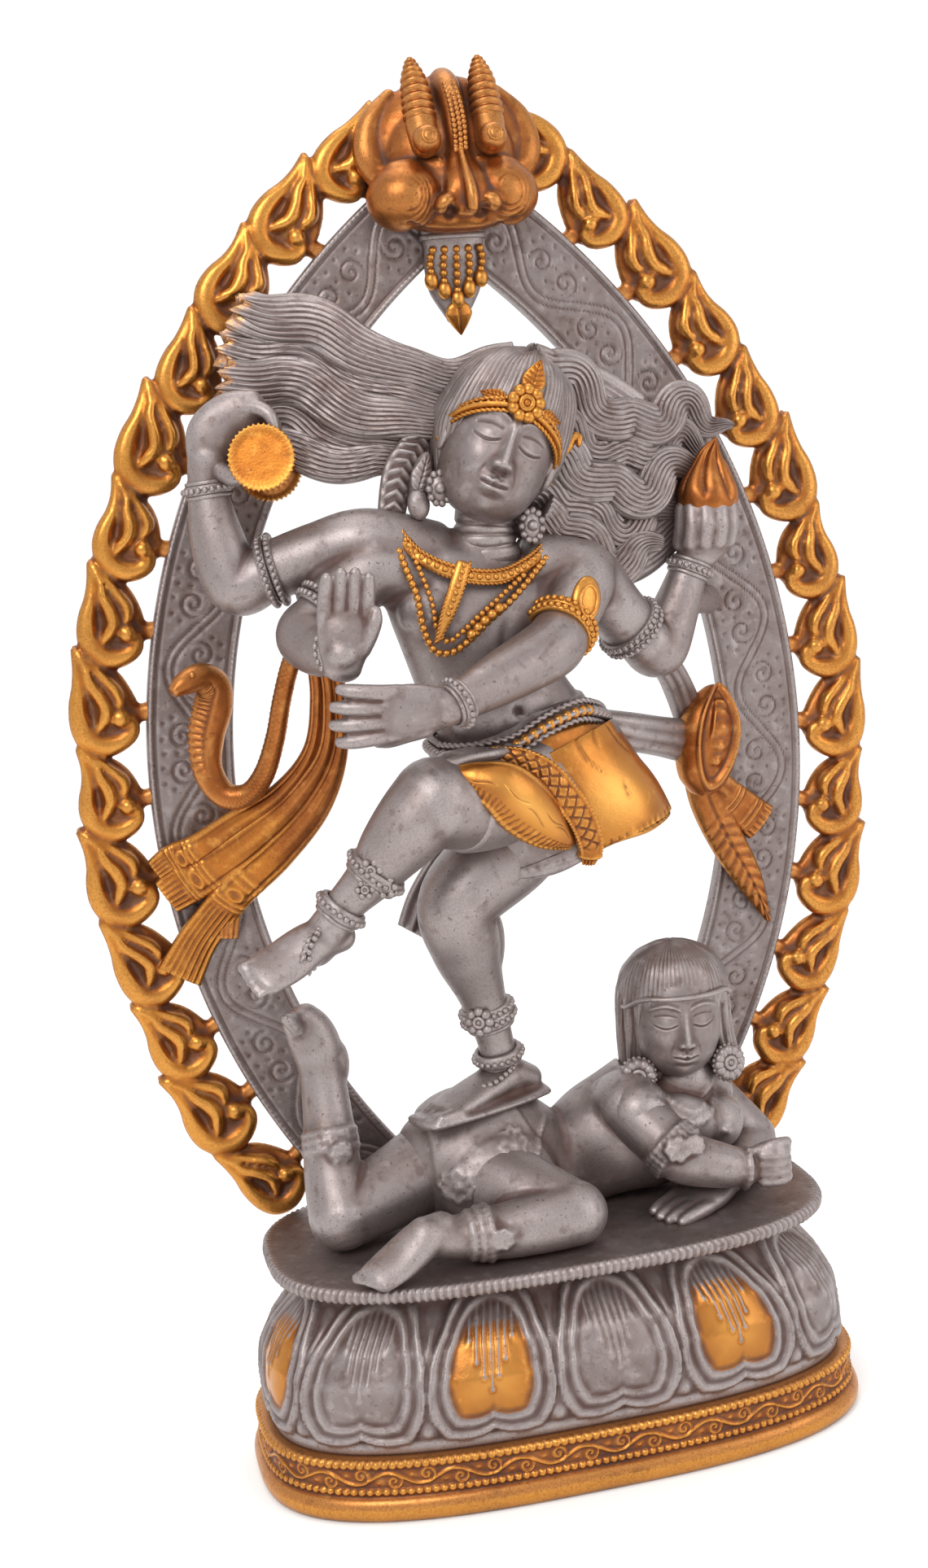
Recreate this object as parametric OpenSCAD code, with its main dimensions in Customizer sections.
// Dancing figure in a ring of flames, cast brass, on an oval lotus base.
// Millimetres, +Z up, front towards -Y, origin at the centre of the base's underside.

/* [Base] */
// How far the base lies to the right of the arch's middle
base_shift = -4; // [-8:0.5:8]
// Width of the foot
foot_w = 286; // [260:1:310]
// Depth of the foot
foot_d = 150; // [140:1:180]
// Height of the rounded lip under the frieze
lip_h = 11; // [6:0.5:16]
// How far the lip stands out past the frieze
lip_out = 3; // [1:0.5:6]
// Height of the frieze above the lip
frieze_h = 17; // [10:0.5:26]
// Height of the lotus drum
drum_h = 70; // [50:1:100]
// How far the drum's neck lies inside the frieze
neck_in = 14; // [6:0.5:16]
// How far the deck's ends lie inside the frieze
deck_in = 10; // [4:0.5:16]
// How far the deck stands out past the frieze at front and back
deck_out = 0.5; // [0:0.5:3]
// Thickness of the deck
deck_t = 6; // [4:0.5:12]
// Wall of the hollow base
base_wall = 6; // [4:0.5:10]
// Squareness of the oval outlines, 2 is an ellipse
oval_power = 2.9; // [2.2:0.1:4]

/* [Flame arch] */
// Half width of the band at its widest
arch_half_w = 160; // [150:1:180]
// Height of the widest place above the deck
arch_rise = 206; // [190:1:230]
// Radius of the band's outer arcs
arch_r = 335; // [320:1:360]
// Width of the band
band_w = 39.5; // [30:0.5:46]
// Thickness of the band
band_t = 8; // [6:0.5:12]
// Distance from the deck's back edge to the band's back
band_inset = 9.5; // [7:0.5:12]
// Width of the tenons that hold the band in the deck
tenon_w = 24; // [14:1:30]
// Thickness of the tenons
tenon_t = 6; // [3:0.5:6]
// Flames on each side
flame_count = 14; // [10:1:16]
// Reach of a flame past the band's outer edge
flame_reach = 34; // [26:1:44]
// Thickness of a flame
flame_t = 12; // [8:0.5:14]
// Angle of the lowest flame's root on the arc
flame_first = -35; // [-36:0.5:-32]
// Angle of the top flame's end on the arc
flame_last = 56; // [52:0.5:58]

/* [Mask] */
// Width of the mask over the cheeks
mask_w = 76; // [60:1:90]
// Height of the mask from jaw to dome
mask_h = 74; // [60:1:90]
// How far the mask stands out from the band
mask_out = 30; // [20:1:40]
// Radius of a horn at its boss
horn_r = 6.5; // [4:0.5:9]
// Length of the bead tassel under the jaw
tassel_h = 42; // [30:1:56]

/* [Dancing figure] */
// Radius of the upper arms at the shoulder
arm_r = 14.5; // [12:0.5:17]
// Radius of the elbows
elbow_r = 13; // [10:0.5:15]
// Radius of the wrists
wrist_r = 8.5; // [7:0.5:11]
// Radius of the neck
neck_r = 13; // [10:0.5:16]
// Width of the head
head_w = 50; // [44:1:58]
// Height of the head from chin to crown
head_h = 70; // [60:1:80]
// Thickness of the hair over the crown
hair_t = 5; // [3:0.5:9]
// Radius of the thighs
thigh_r = 22; // [18:0.5:26]
// Radius of the ankles
ankle_r = 8.5; // [7:0.5:11]
// Thickness of the skirt outside the body
skirt_t = 5; // [3:0.5:9]
// Radius of the drum's skins
drum_r = 13; // [10:0.5:18]
// Length of the drum
drum_len = 34; // [24:1:46]
// Width of the bangles along the limb
bangle_w = 7; // [4:0.5:10]
// Height of the bangles above the limb
bangle_t = 2.5; // [1.5:0.5:5]
// Radius of the cobra's body
cobra_r = 5; // [4:0.5:7]
// Thickness of the sashes
sash_t = 7; // [4:0.5:10]

/* [Lying figure] */
// Half height of the lying body at the buttocks
lying_r = 29; // [26:0.5:30]
// Width of the lying figure's head
lying_head_w = 44; // [36:1:52]
// Radius of the lying figure's limbs
lying_limb_r = 13; // [10:0.5:16]

/* [Joints] */
// Diameter of the pegs between figures and deck
peg_d = 6; // [4:0.5:8]
// Length of the pegs
peg_len = 5; // [3:0.5:8]
// Clearance around pegs and tenons
fit_gap = 0.2; // [0.1:0.05:0.5]
// Clearance between a bangle and its limb
bangle_gap = 0.5; // [0.3:0.1:1]

/* [Hidden] */

grey = "#8a8482";
gilt = "#c8862b";
copper = "#b8661f";

frieze_w = foot_w - 2 * lip_out;
frieze_d = foot_d - 2 * lip_out;
deck_w = frieze_w - 2 * deck_in;
deck_d = frieze_d + 2 * deck_out;
deck_top = lip_h + frieze_h + drum_h + deck_t;
band_back = deck_d / 2 - band_inset;
band_front = band_back - band_t;
arc_shift = arch_r - arch_half_w;
flame_step = (flame_last - flame_first) / flame_count;
big = 1000;

// Where the band's middle line and edges lie at height h above the deck
function arc_x(r, h) = sqrt(r * r - (h - arch_rise) * (h - arch_rise)) - arc_shift;
function band_mid(h) = arc_x(arch_r - band_w / 2, h);
function apex_h(r) = arch_rise + sqrt(r * r - arc_shift * arc_shift);
jaw_h = apex_h(arch_r - band_w) + 4;

// Vectors and smooth curves through stations
function unit(v) = v / norm(v);
function pos(s) = [s[0], s[1], s[2]];
function station(s, i) = s[min(max(i, 0), len(s) - 1)];
function curve(a, b, c, d, t) =
    0.5 * (2 * b + (c - a) * t + (2 * a - 5 * b + 4 * c - d) * t * t
    + (3 * b - a - 3 * c + d) * t * t * t);
function smooth(s, n) = concat(
    [for (i = [0:len(s) - 2]) for (k = [0:n - 1])
        curve(station(s, i - 1), s[i], s[i + 1], station(s, i + 2), k / n)],
    [s[len(s) - 1]]);
function along(s, i) = unit(pos(station(s, i + 1)) - pos(station(s, i - 1)));

// One oval ring of a limb: a runs sideways, b runs towards the facing direction
function ring(s, t, facing, sides) =
    let (side = unit(cross(t, facing)), deep = cross(side, t))
    [for (k = [0:sides - 1])
        pos(s) + max(s[3], 0.4) * cos(360 * k / sides) * side
        + max(s[4], 0.4) * sin(360 * k / sides) * deep];

// Solid through stations [x, y, h, a, b], with flat ends square to the path
module limb(stations, facing = [0, -1, 0], sides = 12, steps = 2) {
    s = smooth(stations, steps);
    last = len(s) - 1;
    points = [for (i = [0:last]) each ring(s[i], along(s, i), facing, sides)];
    quads = [for (i = [0:last - 1]) for (k = [0:sides - 1])
        let (m = (k + 1) % sides)
        [i * sides + k, i * sides + m, (i + 1) * sides + m, (i + 1) * sides + k]];
    bottom = [for (k = [sides - 1:-1:0]) k];
    top = [for (k = [0:sides - 1]) last * sides + k];
    polyhedron(points, concat([bottom], quads, [top]), convexity = 6);
}

// Egg about a centre with half sizes a sideways, b in depth and c along the axis
module egg(centre, axis, a, b, c, facing = [0, -1, 0], sides = 12) {
    d = unit(axis);
    limb([for (q = [-78:26:78])
        let (p = centre + d * c * sin(q))
        [p[0], p[1], p[2], a * cos(q), b * cos(q)]], facing, sides, steps = 1);
}

// First child less the others; zeros keep its size, and the cut settles into one mesh
module seated() {
    resize([0, 0, 0]) difference() {
        children(0);
        if ($children > 1) children([1:$children - 1]);
    }
}

module joined() {
    resize([0, 0, 0]) union() children();
}

module on_deck() {
    translate([0, 0, deck_top]) children();
}

// Everything below the deck's top, for trimming what lies on it
module below_deck() {
    translate([-big, -big, -2 * big]) cube(2 * big);
}

// Everything behind the band's front
module behind_band() {
    translate([-big, band_front, -big]) cube(2 * big);
}

// Oval outline of the base
function oval(w, d) = [for (i = [0:6:354])
    [w / 2 * sign(cos(i)) * pow(abs(cos(i)), 2 / oval_power),
     d / 2 * sign(sin(i)) * pow(abs(sin(i)), 2 / oval_power)]];

// Base
hollow_in = neck_in + base_wall;

module plinth_foot() {
    color(gilt) translate([base_shift, 0, 0]) difference() {
        union() {
            linear_extrude(lip_h) polygon(oval(foot_w, foot_d));
            translate([0, 0, lip_h]) linear_extrude(frieze_h) polygon(oval(frieze_w, frieze_d));
        }
        translate([0, 0, -1]) linear_extrude(lip_h + frieze_h + 2)
            polygon(oval(frieze_w - 2 * hollow_in, frieze_d - 2 * hollow_in));
    }
}

// Drum profile as [share of the height, how far it lies inside the frieze]
drum_profile = [[0, 3], [0.06, 2], [0.2, 0], [0.4, 1], [0.62, 0.25 * neck_in], [0.82, 0.7 * neck_in],
    [0.9, neck_in], [1, neck_in]];

module lotus_drum() {
    rings = [for (p = drum_profile) oval(frieze_w - 2 * p[1], frieze_d - 2 * p[1])];
    n = len(rings[0]);
    last = len(rings) - 1;
    points = [for (i = [0:last]) for (p = rings[i]) [p[0], p[1], drum_profile[i][0] * drum_h]];
    quads = [for (i = [0:last - 1]) for (k = [0:n - 1])
        let (m = (k + 1) % n) [i * n + k, (i + 1) * n + k, (i + 1) * n + m, i * n + m]];
    bottom = [for (k = [0:n - 1]) k];
    top = [for (k = [n - 1:-1:0]) last * n + k];
    color(grey) translate([base_shift, 0, lip_h + frieze_h]) seated() {
        polyhedron(points, concat([bottom], quads, [top]), convexity = 4);
        translate([0, 0, -1]) linear_extrude(drum_h + 2)
            polygon(oval(frieze_w - 2 * hollow_in, frieze_d - 2 * hollow_in));
    }
}

tenon_y = band_back - band_t / 2;
lying_pegs = [[-24, 6], [42, 6]];

function tenon_x() = arc_x(arch_r - band_w / 2, 0);

module tenons(gap, past) {
    for (side = [-1, 1])
        translate([side * tenon_x() - tenon_w / 2 - gap, tenon_y - tenon_t / 2 - gap, -deck_t - past])
            cube([tenon_w + 2 * gap, tenon_t + 2 * gap, deck_t + 1 + past]);
}

module base_deck() {
    color(grey) on_deck() difference() {
        translate([base_shift, 0, -deck_t]) linear_extrude(deck_t) polygon(oval(deck_w, deck_d));
        tenons(fit_gap, 1);
        for (p = lying_pegs)
            translate([p[0], p[1], -peg_len - fit_gap])
                cylinder(d = peg_d + 2 * fit_gap, h = big, $fn = 32);
    }
}

// Flame arch
module pointed_oval(r) {
    intersection() {
        translate([-arc_shift, arch_rise]) circle(r, $fn = 180);
        translate([arc_shift, arch_rise]) circle(r, $fn = 180);
    }
}

module arch_band() {
    color(grey) on_deck() {
        translate([0, band_back, 0]) rotate([90, 0, 0]) linear_extrude(band_t) difference() {
            pointed_oval(arch_r);
            pointed_oval(arch_r - band_w);
            translate([-big / 2, -big]) square(big);
        }
        tenons(0, 0);
    }
}

// Outline of one flame as [reach in shares, turn in steps along the arc]
flame_outline = [[0, 0.34], [0.1, 0.12], [0.3, 0.03], [0.62, 0.1], [0.82, 0.3], [0.9, 0.5],
    [0.97, 0.8], [1, 1.18], [0.8, 1.2], [0.62, 1.06], [0.42, 1], [0.22, 0.9], [0, 0.72]];

module flame(i) {
    base = flame_first + i * flame_step;
    translate([0, band_back, 0]) rotate([90, 0, 0]) linear_extrude(flame_t) difference() {
        polygon([for (p = flame_outline)
            let (r = arch_r - 2 + (flame_reach + 2) * p[0], a = base + flame_step * p[1])
            [r * cos(a) - arc_shift, r * sin(a) + arch_rise]]);
        translate([-arc_shift, arch_rise]) circle(arch_r, $fn = 180);
    }
}

module flames() {
    for (i = [0:flame_count - 1]) flame(i);
}

module flames_right() {
    color(gilt) on_deck() flames();
}

module flames_left() {
    color(gilt) on_deck() mirror([1, 0, 0]) flames();
}

// Mask: stations from jaw to dome as [share of height, half width share, standing-out share]
mask_profile = [[0, 0.34, 0.55], [0.12, 0.72, 0.86], [0.3, 1, 1], [0.5, 0.94, 0.86], [0.68, 0.8, 0.72],
    [0.86, 0.62, 0.5], [0.97, 0.36, 0.28], [1, 0.2, 0.14]];
mask_x = 3;
cheek_r = 15;

// Point on the mask: shares of its width to the side, of its standing out and of its height
function mask_at(side, out, up) =
    [mask_x + side * mask_w, band_front - out * mask_out, jaw_h + up * mask_h];

module mask_solid() {
    seated() {
        union() {
            limb([for (p = mask_profile) let (c = mask_at(0, 0, p[0]))
                [c[0], c[1], c[2], mask_w / 2 * p[1], mask_out * p[2]]], sides = 16);
            egg(mask_at(0, 1, 0.24), [0, 0.2, 1], cheek_r / 2, cheek_r / 2, cheek_r);
            for (side = [-1, 1]) egg(mask_at(side * 0.29, 0.7, 0.32), [0, 0, 1], cheek_r, cheek_r, cheek_r);
        }
        behind_band();
        flames();
        mirror([1, 0, 0]) flames();
    }
}

module mask_face() {
    color(copper) on_deck() mask_solid();
}

// Horn stations as [place on the mask, share of the boss radius]
function horn(side) = [for (q = [[mask_at(side * 0.2, 1.06, 0.5), 0.6], [mask_at(side * 0.2, 1, 0.56), 1],
    [mask_at(side * 0.21, 0.8, 0.8), 0.85], [mask_at(side * 0.22, 0.36, 1.04), 0.5]])
    [q[0][0], q[0][1], q[0][2], horn_r * q[1], horn_r * q[1]]];

module mask_horns() {
    color(copper) on_deck() seated() {
        for (side = [-1, 1]) limb(horn(side));
        mask_solid();
        behind_band();
        flames();
        mirror([1, 0, 0]) flames();
    }
}

// Half outline of the tassel as [half width, share of its length below the jaw]
tassel_side = [[15, -0.1], [16, 0.4], [6, 0.75], [0, 1]];

module mask_pendant() {
    right = [for (q = tassel_side) [q[0], jaw_h - tassel_h * q[1]]];
    left = [for (i = [len(right) - 2:-1:0]) [-right[i][0], right[i][1]]];
    color(gilt) on_deck() translate([mask_x, band_back, 0]) rotate([90, 0, 0])
        linear_extrude(band_t + 2) difference() {
            polygon(concat(right, left));
            translate([-mask_x, 0]) difference() {
                square(2 * big, center = true);
                pointed_oval(arch_r - band_w);
            }
            translate([-big / 2, jaw_h]) square(big);
        }
}

// Dancing figure, points as [x, y, height above the deck]
shoulder_line = [-12, -1, 297];
neck_end = [-5, -4, 314];

torso_path = [[9, 0, 188, 37, 25], [6, 0, 212, 40, 27], [-8, -2, 238, 30, 22], [-14, -3, 257, 31, 22],
    [-14, -3, 279, 38, 23], [shoulder_line[0], shoulder_line[1], shoulder_line[2], 43, 19],
    [-8, -2, 307, 22, 15], [neck_end[0], neck_end[1], neck_end[2], neck_r, neck_r]];

// Upper arms from inside the shoulder to the armlets
function arm(inner, shoulder, middle, end) = [
    [inner[0], inner[1], inner[2], arm_r + 1, arm_r + 1],
    [shoulder[0], shoulder[1], shoulder[2], arm_r, arm_r],
    [middle[0], middle[1], middle[2], (arm_r + elbow_r) / 2, (arm_r + elbow_r) / 2],
    [end[0], end[1], end[2], elbow_r, elbow_r]];
arm_drum = arm([-30, 2, 306], [-59, 0, 315], [-80, 6, 312], [-102, 12, 306]);
arm_palm = arm([-32, -2, 298], [-56, -4, 303], [-71, -6, 295], [-82, -8, 286]);
arm_across = arm([14, 0, 298], [34, -5, 293], [29, -15, 283], [20, -24, 273]);
arm_flame = arm([14, 4, 300], [38, 3, 293], [51, 7, 279], [64, 12, 264]);

module torso_solid() {
    joined() {
        limb(torso_path, sides = 16);
        limb(arm_drum);
        limb(arm_palm);
        limb(arm_across);
        limb(arm_flame);
    }
}

module torso() {
    color(grey) on_deck() torso_solid();
}

// Path with a round cross section: stations [x, y, h, r]
function round_path(s) = [for (p = s) [p[0], p[1], p[2], p[3], p[3]]];

// Forearms: the elbow turns sharply, so two limbs and a ball meet there
module bent(first, elbow, second, facing = [0, -1, 0]) {
    limb(round_path([first, elbow]), facing, steps = 1);
    egg(pos(elbow), [0, 0, 1], elbow[3], elbow[3], elbow[3]);
    limb(second, facing);
}

drum_at = [-99, 8, 353];
drum_axis_turn = [82, 0, -13];

module drum_solid() {
    translate(drum_at) rotate(drum_axis_turn) rotate_extrude($fn = 48)
        polygon([[0, -drum_len / 2], [drum_r, -drum_len / 2], [drum_r, -drum_len / 2 + 3],
            [drum_r / 2, 0], [drum_r, drum_len / 2 - 3], [drum_r, drum_len / 2], [0, drum_len / 2]]);
}

module drum() {
    color(gilt) on_deck() drum_solid();
}

module forearm_drum_solid() {
    bent([-102, 12, 306, elbow_r], [-115, 16, 300, elbow_r], [
        [-116, 16, 302, elbow_r, elbow_r], [-122, 17, 322, elbow_r - 1, elbow_r - 1],
        [-124, 17, 346, wrist_r, wrist_r], [-121, 16, 362, 12, 9], [-114, 14, 374, 11, 8],
        [-103, 9, 379, 7, 6], [-97, 3, 376, 4, 4]]);
}

module forearm_drum() {
    color(grey) on_deck() seated() {
        forearm_drum_solid();
        drum_solid();
        torso_solid();
    }
}

module forearm_palm_solid() {
    bent([-82, -8, 286, elbow_r], [-91, -10, 279, elbow_r], [
        [-91, -12, 278, elbow_r, elbow_r], [-87, -26, 273, elbow_r - 1, elbow_r - 1],
        [-82, -40, 273, wrist_r + 1, wrist_r + 1]], facing = [0, 0, 1]);
    limb([[-82, -42, 266, 8, 5], [-81, -45, 274, 10, 8], [-78, -48, 285, 12, 5], [-77, -49, 296, 11, 4],
        [-76, -49, 304, 10, 3.5], [-76, -49, 308, 5, 3]]);
}

module forearm_palm() {
    color(grey) on_deck() seated() {
        forearm_palm_solid();
        torso_solid();
    }
}

module forearm_across_solid() {
    bent([20, -24, 273, elbow_r], [11, -34, 265, elbow_r], [
        [10, -35, 264, elbow_r, elbow_r], [-15, -46, 255, elbow_r - 1.5, elbow_r - 1.5],
        [-38, -54, 247, wrist_r, wrist_r], [-54, -56, 245, 12, 6], [-68, -57, 246, 13, 5],
        [-84, -58, 246, 10, 4], [-88, -58, 246, 5, 3]]);
}

module forearm_across() {
    color(grey) on_deck() seated() {
        forearm_across_solid();
        torso_solid();
    }
}

flame_palm = [104, 16, 308];

module forearm_flame_solid() {
    bent([64, 12, 264, elbow_r], [75, 16, 254, elbow_r], [
        [77, 16, 255, elbow_r, elbow_r], [87, 18, 272, elbow_r - 2, elbow_r - 2],
        [96, 18, 292, wrist_r, wrist_r], [102, 17, 301, 12, 10],
        [flame_palm[0], flame_palm[1], flame_palm[2], 14, 12],
        [flame_palm[0] + 1, flame_palm[1], flame_palm[2] + 8, 13, 12]]);
}

module forearm_flame() {
    color(grey) on_deck() seated() {
        forearm_flame_solid();
        torso_solid();
    }
}

// Flame stations as [shift right, height above the palm, half width]
hand_flame_path = [[1, 6, 11], [2, 14, 13], [3, 24, 8], [5, 37, 1]];

module hand_flame_solid() {
    limb([for (q = hand_flame_path)
        [flame_palm[0] + q[0], flame_palm[1], flame_palm[2] + q[1], q[2], q[2]]], steps = 3);
}

module hand_flame() {
    color(copper) on_deck() seated() {
        hand_flame_solid();
        forearm_flame_solid();
    }
}

// Bangle across a limb at a point, square to the given direction
module bangle(at, dir, r) {
    d = unit(dir);
    bore = r + bangle_gap;
    translate(at) rotate([0, acos(d[2]), atan2(d[1], d[0])]) rotate_extrude($fn = 32)
        polygon([[bore, -bangle_w / 2], [bore + bangle_t * 0.6, -bangle_w / 2], [bore + bangle_t, 0],
            [bore + bangle_t * 0.6, bangle_w / 2], [bore, bangle_w / 2]]);
}

module armlets() {
    color(gilt) on_deck() {
        bangle([-102, 12, 306], [-22, 6, -5], elbow_r);
        bangle([-82, -8, 286], [-11, -2, -9], elbow_r);
        bangle([64, 12, 264], [12, 5, -13], elbow_r);
        seated() {
            bangle([20, -24, 273], [-9, -10, -9], elbow_r);
            torso_solid();
        }
    }
}

module wrist_bangles() {
    bangle([-82, -39, 273], [5, -14, 1], wrist_r + 1);
    bangle([-37, -54, 247], [-23, -8, -8], wrist_r);
    bangle([95, 18, 290], [9, 0, 20], wrist_r);
    bangle([-124, 17, 344], [-2, 0, 24], wrist_r);
}

module bracelets() {
    color(grey) on_deck() wrist_bangles();
}

module necklace() {
    color(gilt) on_deck() seated() {
        union() {
            limb(round_path([[-46, -10, 310, 3], [-34, -21, 299, 4], [-20, -24, 303, 4], [-2, -22, 301, 4],
                [10, -17, 300, 3]]));
            limb(round_path([[-32, -20, 297, 3], [-28, -25, 284, 4], [-22, -27, 272, 4], [-10, -26, 277, 4],
                [4, -22, 292, 3], [12, -18, 296, 3]]));
        }
        torso_solid();
    }
}

// Head on its own tilted axis
head_tilt = unit([26, 4, 75]);
head_low = [-8, -10, 318];
function head_at(s, forward = 0) = head_low + head_tilt * head_h * s + [0, -forward, 0];
function head_ring(s, a, b, forward = 0) =
    let (p = head_at(s, forward)) [p[0], p[1], p[2], head_w / 2 * a, head_w / 2 * b];

module head_solid() {
    joined() {
        limb([[neck_end[0], neck_end[1], neck_end[2], neck_r, neck_r],
            [neck_end[0] + 2, neck_end[1], neck_end[2] + 8, neck_r - 0.5, neck_r - 0.5],
            [neck_end[0] + 6, neck_end[1] + 1, neck_end[2] + 20, neck_r, neck_r]]);
        limb([head_ring(0, 0.3, 0.3, 6), head_ring(0.08, 0.62, 0.68, 4), head_ring(0.28, 0.9, 0.9, 2),
            head_ring(0.5, 1, 1.02), head_ring(0.7, 0.95, 1), head_ring(0.88, 0.7, 0.78),
            head_ring(1, 0.2, 0.25)], sides = 14);
    }
}

module head() {
    color(grey) on_deck() seated() {
        head_solid();
        torso_solid();
    }
}

module hair_cap_solid() {
    over = 2 * hair_t / head_w;
    limb([head_ring(0.28, 0.9, 0.62, -8), head_ring(0.5, 1.02 + over, 0.9, -5),
        head_ring(0.72, 0.98 + over, 1.02, -2), head_ring(0.92, 0.8 + over, 0.9),
        head_ring(1.06, 0.3 + over, 0.5), head_ring(1.12, 0.1, 0.1)], sides = 14);
}

module hair_cap() {
    color(grey) on_deck() seated() {
        hair_cap_solid();
        head_solid();
    }
}

// Streaming hair: sheets from the cap to the band, a is half the height
hair_end_y = band_front - 8;

module hair_left_solid() {
    limb([[-6, 4, 371, 20, 9], [-26, 8, 371, 25, 8], [-46, 15, 374, 28, 8], [-66, 24, 383, 33, 8],
        [-88, 37, 391, 38, 7], [-100, hair_end_y - 1, 399, 35, 8], [-106, hair_end_y, 402, 30, 8]]);
}

module hair_left() {
    color(grey) on_deck() seated() {
        hair_left_solid();
        head_solid();
        hair_cap_solid();
        drum_solid();
        forearm_drum_solid();
        behind_band();
        mirror([1, 0, 0]) flames();
    }
}

module hair_right() {
    tip_h = 352;
    color(grey) on_deck() seated() {
        limb([[16, 6, 350, 40, 10], [34, 8, 345, 47, 9], [56, 12, 329, 48, 9], [77, 20, 331, 40, 8],
            [94, 28, 346, 26, 8], [band_mid(tip_h) - 4, hair_end_y, tip_h + 2, 13, 8],
            [band_mid(tip_h) + 8, hair_end_y + 1, tip_h, 3, 7]]);
        head_solid();
        hair_cap_solid();
        torso_solid();
        forearm_flame_solid();
        hand_flame_solid();
        wrist_bangles();
        behind_band();
    }
}

module diadem() {
    color(gilt) on_deck() seated() {
        union() {
            limb([head_ring(0.62, 1.06, 1.1), head_ring(0.66, 1.1, 1.16), head_ring(0.74, 1.08, 1.14),
                head_ring(0.78, 1.02, 1.06)], sides = 16, steps = 1);
            egg(head_at(0.8, head_w * 0.5), head_tilt, 6, 5, 12);
        }
        head_solid();
        hair_cap_solid();
    }
}

module earrings() {
    color(grey) on_deck() seated() {
        for (side = [-1, 1])
            egg(head_at(0.2, 2) + side * [head_w * 0.44, 0, -head_w * 0.14], [0, 0, 1], 6, 6, 9);
        head_solid();
        hair_cap_solid();
        torso_solid();
    }
}

// Ribbed scroll that ties the streaming hair to the shoulder
module ear_scroll() {
    color(grey) on_deck() seated() {
        limb([[-36, 10, 374, 6, 6], [-31, 8, 362, 6, 6], [-36, 6, 350, 6, 6], [-44, 4, 338, 5, 6],
            [-47, 2, 324, 5, 6], [-47, 1, 316, 5, 6]]);
        hair_left_solid();
        head_solid();
        hair_cap_solid();
        torso_solid();
    }
}

// Legs
foot_h = 62;

module standing_leg_solid() {
    joined() {
        limb(round_path([[12, 0, 200, thigh_r + 2], [-6, -7, 176, thigh_r], [-34, -14, 155, 18],
            [-31, -7, 132, 15], [-25, -2, 108, 10.5], [-20, 1, 86, ankle_r], [-17, 3, 70, ankle_r],
            [-16, 3, foot_h - 4, ankle_r]]));
        limb([[-5, 6, foot_h, 7, 5], [-14, 4, foot_h + 2, 9, 7], [-28, -3, foot_h + 1, 10, 6],
            [-42, -10, foot_h - 1, 11, 4], [-53, -15, foot_h - 2, 8, 3], [-57, -17, foot_h - 2, 4, 2]],
            facing = [0, 0, 1]);
    }
}

module standing_peg(gap) {
    translate([-26, -1, foot_h - peg_len - 4 - gap])
        cylinder(d = peg_d + 2 * gap, h = peg_len + 6, $fn = 24);
}

module standing_leg() {
    color(grey) on_deck() joined() {
        difference() {
            standing_leg_solid();
            torso_solid();
        }
        standing_peg(0);
    }
}

module raised_leg_solid() {
    joined() {
        limb(round_path([[2, -10, 204, thigh_r], [-26, -30, 202, thigh_r], [-48, -44, 204, thigh_r - 3]]),
            facing = [0, 0, 1]);
        egg([-50, -45, 204], [0, 0, 1], thigh_r - 3.5, thigh_r - 3.5, thigh_r - 3.5);
        limb(round_path([[-50, -45, 204, thigh_r - 4], [-66, -42, 188, 14.5], [-77, -38, 175, 10.5],
            [-89, -36, 164, ankle_r], [-97, -34, 154, ankle_r], [-102, -33, 146, ankle_r]]));
        limb([[-95, -31, 149, 7, 5], [-106, -34, 147, 8, 7], [-120, -39, 143, 10, 5],
            [-132, -43, 139, 8, 3.5], [-137, -45, 138, 4, 2]], facing = [0, 0, 1]);
    }
}

module raised_leg() {
    color(grey) on_deck() seated() {
        raised_leg_solid();
        torso_solid();
        standing_leg_solid();
    }
}

module anklets() {
    color(grey) on_deck() {
        bangle([-22, 0, 96], [5, 2, -22], ankle_r + 1);
        bangle([-18.5, 2, 77], [3, 2, -16], ankle_r);
        bangle([-75, -39, 177], [-11, 4, -13], 11);
        bangle([-91, -35.5, 162], [-8, 2, -10], ankle_r);
    }
}

// Clothing
module waist_belt_solid() {
    limb([[5, -1, 217, 40 + bangle_t, 27 + bangle_t], [4, -1, 220, 40 + bangle_t, 27 + bangle_t],
        [2, -1, 226, 38 + bangle_t, 26 + bangle_t], [1, -1, 229, 35 + bangle_t, 25 + bangle_t]],
        sides = 16, steps = 1);
}

module waist_belt() {
    color(gilt) on_deck() seated() {
        waist_belt_solid();
        torso_solid();
        raised_leg_solid();
    }
}

module skirt_right_solid() {
    limb([[6, 0, 216, 40 + skirt_t, 27 + skirt_t], [12, -2, 204, 41 + skirt_t, 28 + skirt_t],
        [22, -3, 188, 42 + skirt_t, 29 + skirt_t], [25, -3, 168, 41 + skirt_t, 30 + skirt_t]], sides = 16);
}

module skirt_right() {
    color(gilt) on_deck() seated() {
        skirt_right_solid();
        torso_solid();
        waist_belt_solid();
        standing_leg_solid();
        raised_leg_solid();
    }
}

module skirt_left_solid() {
    r = thigh_r + skirt_t;
    limb(round_path([[6, -14, 204, r], [-22, -30, 201, r], [-38, -40, 203, r - 1]]),
        facing = [0, 0, 1], sides = 14);
}

module skirt_left() {
    color(gilt) on_deck() seated() {
        skirt_left_solid();
        skirt_right_solid();
        torso_solid();
        waist_belt_solid();
        skirt_tail_solid();
        raised_leg_solid();
        standing_leg_solid();
    }
}

module skirt_tail_solid() {
    limb([[8, -33, 222, 6, 5], [14, -37, 204, 8, 5], [21, -38, 186, 9, 5], [25, -36, 172, 9, 4],
        [25, -34, 164, 8, 3]]);
}

module skirt_tail() {
    color(gilt) on_deck() seated() {
        skirt_tail_solid();
        skirt_right_solid();
        waist_belt_solid();
        torso_solid();
        raised_leg_solid();
    }
}

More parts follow.
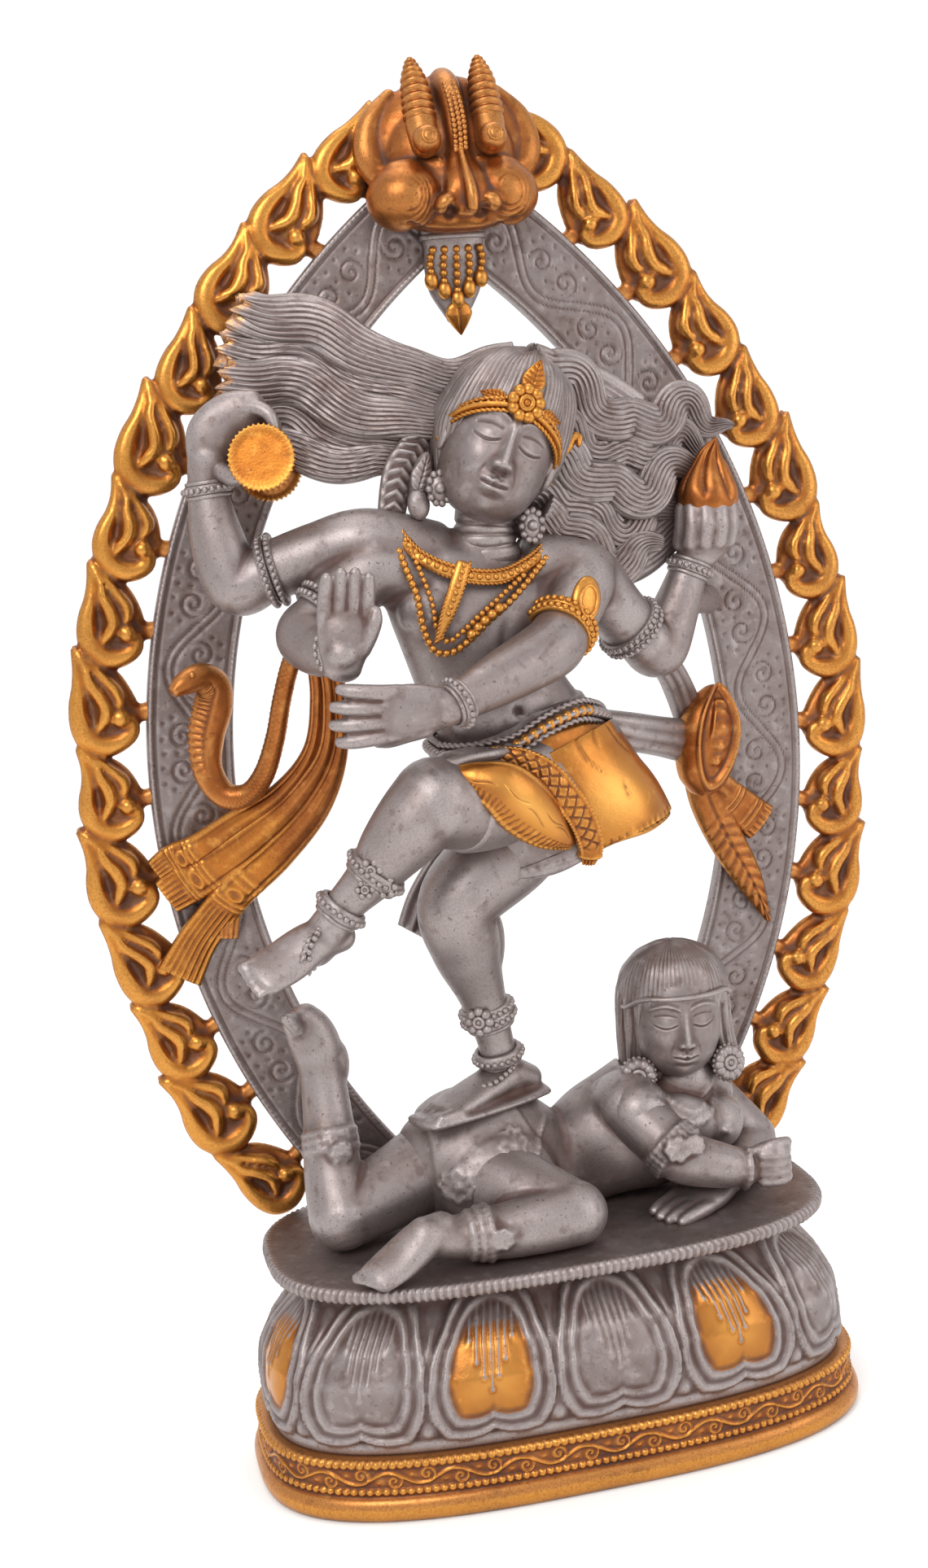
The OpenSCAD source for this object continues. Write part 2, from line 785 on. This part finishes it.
module rear_cloth() {
    color(grey) on_deck() seated() {
        limb([[0, 18, 186, 16, 6], [-22, 16, 168, 15, 5], [-40, 13, 150, 13, 4], [-50, 11, 136, 10, 4]]);
        standing_leg_solid();
        torso_solid();
        skirt_right_solid();
    }
}

// Cobra and sashes
module cobra_solid() {
    r = cobra_r;
    limb([[-92, 2, 268, r, r], [-96, 6, 252, r, r], [-103, 10, 235, r, r], [-110, 14, 217, r, r],
        [-120, 18, 206, r, r], [-131, 22, 207, r, r], [-136, 24, 221, r, r], [-134, 24, 236, r * 1.3, r],
        [-130, 21, 250, r * 1.7, r * 0.9], [-130, 16, 260, r * 1.2, r], [-138, 12, 263, r, r * 0.9],
        [-146, 8, 260, r * 0.5, r * 0.5]], sides = 10, steps = 3);
}

module cobra() {
    color(copper) on_deck() seated() {
        cobra_solid();
        forearm_palm_solid();
        torso_solid();
    }
}

module sash_left() {
    end_y = band_front - sash_t / 2;
    color(gilt) on_deck() seated() {
        union() {
            limb([[-86, 0, 270, 6, 4], [-86, 5, 248, 7, 4], [-88, 12, 219, 9, 4],
                [-99, 20, 197, 12, sash_t / 2], [-116, 32, 178, 15, sash_t / 2],
                [-134, 43, 166, 18, sash_t / 2],
                [-146, end_y, 160, 19, sash_t / 2], [-156, end_y, 156, 17, sash_t / 2]]);
            limb([[-140, end_y, 152, 10, sash_t / 2], [-148, end_y, 140, 11, sash_t / 2],
                [-156, end_y, 128, 12, sash_t / 2]]);
        }
        cobra_solid();
        forearm_palm_solid();
        torso_solid();
        behind_band();
        mirror([1, 0, 0]) flames();
    }
}

module sash_right() {
    end_y = band_front - sash_t / 2;
    color(copper) on_deck() seated() {
        union() {
            limb([[72, 14, 250, 6, 5], [82, 20, 242, 6, 5], [90, 28, 232, 6, 5], [98, 36, 218, 8, 5]]);
            limb([[44, 2, 222, 7, 5], [62, 6, 217, 8, 5], [80, 18, 213, 9, 5], [98, 32, 208, 10, 6]]);
            egg([106, 40, 208], [10, 3, 20], 13, 13, 22);
            limb([[108, 42, 190, 10, 6], [118, 47, 175, 8, sash_t / 2], [133, end_y, 161, 9, sash_t / 2]]);
            limb([[100, 40, 190, 9, 6], [108, 46, 172, 9, sash_t / 2], [117, end_y, 152, 9, sash_t / 2],
                [128, end_y, 128, 7, sash_t / 2], [136, end_y, 108, 1, sash_t / 2]]);
        }
        forearm_flame_solid();
        torso_solid();
        skirt_right_solid();
        waist_belt_solid();
        behind_band();
    }
}

module arm_strut() {
    strut_h = 273;
    color(grey) on_deck() seated() {
        limb(round_path([[86, 18, strut_h + 1, 5], [102, 36, strut_h, 5],
            [band_mid(strut_h) - band_w / 4, band_front + 3, strut_h - 1, 5]]), facing = [0, 0, 1]);
        forearm_flame_solid();
        behind_band();
    }
}

// Lying figure
module lying_body_solid() {
    seated() {
        union() {
            limb([[-66, 6, 26, 10, 12], [-58, 6, 28, 22, 22], [-44, 6, lying_r, lying_r, 31],
                [-22, 6, lying_r, lying_r, 31], [6, 8, 20, 20, 24], [32, 8, 28, 28, 28], [56, 6, 36, 26, 32],
                [68, 4, 48, 15, 18], [70, 3, 56, 12, 12]], sides = 14);
            limb(round_path([[34, 0, 44, 15], [40, -14, 46, lying_limb_r + 2]]), facing = [0, 0, 1]);
        }
        below_deck();
        standing_peg(fit_gap);
        standing_leg_solid();
    }
}

module lying_pegs_solid() {
    for (p = lying_pegs)
        translate([p[0], p[1], -peg_len]) cylinder(d = peg_d, h = peg_len + 6, $fn = 24);
}

module dwarf_body() {
    color(grey) on_deck() joined() {
        lying_body_solid();
        lying_pegs_solid();
    }
}

module dwarf_leg_up() {
    r = lying_limb_r;
    color(grey) on_deck() seated() {
        union() {
            limb(round_path([[-48, 8, 30, r + 8], [-74, 0, 22, r + 5], [-98, -8, r + 2, r + 2]]));
            egg([-99, -8, r + 2], [0, 0, 1], r + 2, r + 2, r + 2);
            limb([[-99, -7, r + 3, r + 2, r + 2], [-99, 2, 36, r, r], [-99, 10, 60, r - 2, r - 2],
                [-99, 14, 78, r - 3, r - 2], [-99, 16, 90, r - 2, r - 3], [-103, 14, 101, r - 4, r - 6],
                [-106, 12, 107, 4, 3]]);
        }
        lying_body_solid();
        below_deck();
    }
}

module dwarf_leg_folded() {
    r = lying_limb_r;
    color(grey) on_deck() seated() {
        union() {
            limb(round_path([[-34, -8, 26, r + 8], [-18, -30, 20, r + 5], [-3, -46, r + 1, r + 1]]),
                facing = [0, 0, 1]);
            egg([-2, -47, r + 1], [0, 0, 1], r + 1, r + 1, r + 1);
            limb([[-4, -48, r + 1, r, r], [-34, -50, r, r - 1, r - 1], [-56, -50, 14, 9, 9],
                [-70, -52, 18, 9, 7], [-84, -57, 10, 9, 5], [-97, -62, 5, 7, 4]], facing = [0, 0, 1]);
        }
        lying_body_solid();
        below_deck();
    }
}

module dwarf_arm_near_solid() {
    r = lying_limb_r;
    joined() {
        limb(round_path([[40, -12, 46, r + 1], [48, -24, 34, r], [56, -32, 26, r - 1], [72, -35, 21, r - 3],
            [86, -35, 18, 8]]), facing = [0, 0, 1]);
        egg([95, -35, 17], [1, 0, 0], 8, 7, 11);
    }
}

module dwarf_arm_near() {
    color(grey) on_deck() seated() {
        dwarf_arm_near_solid();
        lying_body_solid();
        below_deck();
    }
}

module dwarf_arm_far_solid() {
    r = lying_limb_r;
    joined() {
        limb(round_path([[72, 16, 42, r + 2], [90, 18, 32, r], [104, 10, 14, r]]));
        limb([[104, 8, 12, r - 1, r - 1], [90, -8, 9, r - 2, r - 3], [72, -26, 7, 9, 6], [56, -36, 4, 10, 4],
            [44, -40, 3, 7, 3]], facing = [0, 0, 1]);
    }
}

module dwarf_arm_far() {
    color(grey) on_deck() seated() {
        dwarf_arm_far_solid();
        lying_body_solid();
        dwarf_arm_near_solid();
        below_deck();
    }
}

lying_neck = [70, 3, 56];
lying_head_at = [67, 0, 86];

// Head rings as [share of its half height, half width share, half depth share, forward]
lying_head_rings = [[-0.98, 0.3, 0.3, 3], [-0.8, 0.62, 0.7, 2], [-0.4, 0.9, 0.94, 1], [0.05, 1, 1.04, 0],
    [0.5, 0.88, 0.95, 0], [0.85, 0.5, 0.6, 0], [1, 0.15, 0.2, 0]];

module dwarf_head_solid() {
    w = lying_head_w / 2;
    joined() {
        limb([for (q = [0, 10, 22]) [lying_neck[0] - q / 7, lying_neck[1], lying_neck[2] + q, 12, 12]]);
        limb([for (q = lying_head_rings)
            let (p = lying_head_at + [0, -q[3], q[0] * w * 1.3])
            [p[0], p[1], p[2], q[1] * w, q[2] * w]], sides = 14);
    }
}

module dwarf_head() {
    color(grey) on_deck() seated() {
        dwarf_head_solid();
        lying_body_solid();
    }
}

// Hair rings as [x, y, height, half width share, half depth]
lying_hair_rings = [[76, 14, 48, 0.9, 9], [74, 12, 56, 1.1, 12], [70, 8, 72, 1.18, 17], [68, 6, 88, 1.2, 20],
    [68, 4, 104, 1.12, 22], [69, 4, 116, 0.75, 16], [70, 4, 120, 0.3, 6]];

module dwarf_hair_solid() {
    limb([for (q = lying_hair_rings) [q[0], q[1], q[2], q[3] * lying_head_w / 2, q[4]]], sides = 14);
}

module dwarf_hair() {
    color(grey) on_deck() seated() {
        dwarf_hair_solid();
        dwarf_head_solid();
        lying_body_solid();
        dwarf_arm_far_solid();
    }
}

module dwarf_earrings() {
    color(grey) on_deck() seated() {
        for (x = [44, 88]) egg([x, -4, 60], [0, 1, 0], 7, 7, 5, facing = [0, 0, 1]);
        dwarf_head_solid();
        dwarf_hair_solid();
        lying_body_solid();
    }
}

plinth_foot();
lotus_drum();
base_deck();
arch_band();
flames_left();
flames_right();
mask_face();
mask_horns();
mask_pendant();
torso();
head();
hair_cap();
hair_left();
hair_right();
diadem();
earrings();
ear_scroll();
forearm_drum();
drum();
forearm_palm();
forearm_across();
forearm_flame();
hand_flame();
armlets();
bracelets();
necklace();
waist_belt();
skirt_right();
skirt_left();
skirt_tail();
rear_cloth();
standing_leg();
raised_leg();
anklets();
cobra();
sash_left();
sash_right();
arm_strut();
dwarf_body();
dwarf_head();
dwarf_hair();
dwarf_earrings();
dwarf_arm_near();
dwarf_arm_far();
dwarf_leg_up();
dwarf_leg_folded();
